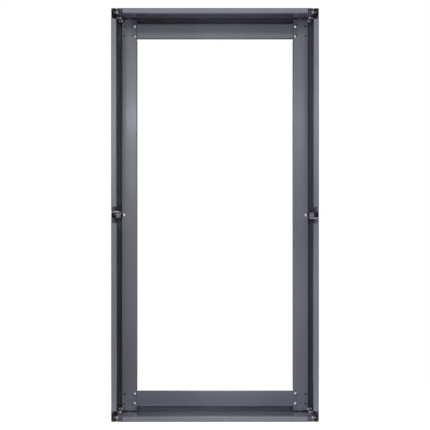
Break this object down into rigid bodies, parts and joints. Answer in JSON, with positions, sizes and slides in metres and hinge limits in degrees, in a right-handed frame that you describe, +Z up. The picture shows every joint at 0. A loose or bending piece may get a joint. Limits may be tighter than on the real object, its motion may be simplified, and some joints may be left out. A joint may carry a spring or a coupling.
{
  "type": "firewood log rack",
  "caption": "Tall open-fronted firewood log rack, bolted together from folded sheet-steel trays with an open back of posts and rails.",
  "frame": {"origin": "centre of the footprint, on the floor", "axes": "+Z up along the height, X along the width, the open front faces -Y"},
  "size_m": [0.5, 0.25, 0.996],
  "materials": {
    "powder_coated_steel": "anthracite powder coat, semi-gloss",
    "zinc_plated_steel": "bright zinc plating"
  },
  "bodies": {
    "root": {"bottom_panel": "powder_coated_steel", "top_panel": "powder_coated_steel", "left_side_lower": "powder_coated_steel", "left_side_upper": "powder_coated_steel", "right_side_lower": "powder_coated_steel", "right_side_upper": "powder_coated_steel", "rear_post_left": "powder_coated_steel", "rear_post_right": "powder_coated_steel", "rear_rail_bottom": "powder_coated_steel", "rear_rail_top": "powder_coated_steel", "corner_bolts_bottom_left": "zinc_plated_steel", "rail_bolts_bottom_left": "zinc_plated_steel", "corner_bolts_bottom_right": "zinc_plated_steel", "rail_bolts_bottom_right": "zinc_plated_steel", "corner_bolts_top_left": "zinc_plated_steel", "rail_bolts_top_left": "zinc_plated_steel", "corner_bolts_top_right": "zinc_plated_steel", "rail_bolts_top_right": "zinc_plated_steel", "seam_bolts_left": "zinc_plated_steel", "post_bolt_left": "zinc_plated_steel", "seam_bolts_right": "zinc_plated_steel", "post_bolt_right": "zinc_plated_steel", "corner_nuts_bottom_left": "zinc_plated_steel", "rail_nuts_bottom_left": "zinc_plated_steel", "corner_nuts_bottom_right": "zinc_plated_steel", "rail_nuts_bottom_right": "zinc_plated_steel", "corner_nuts_top_left": "zinc_plated_steel", "rail_nuts_top_left": "zinc_plated_steel", "corner_nuts_top_right": "zinc_plated_steel", "rail_nuts_top_right": "zinc_plated_steel", "seam_nuts_left": "zinc_plated_steel", "post_weld_nut_left": "zinc_plated_steel", "seam_nuts_right": "zinc_plated_steel", "post_weld_nut_right": "zinc_plated_steel"}
  },
  "joints": []
}
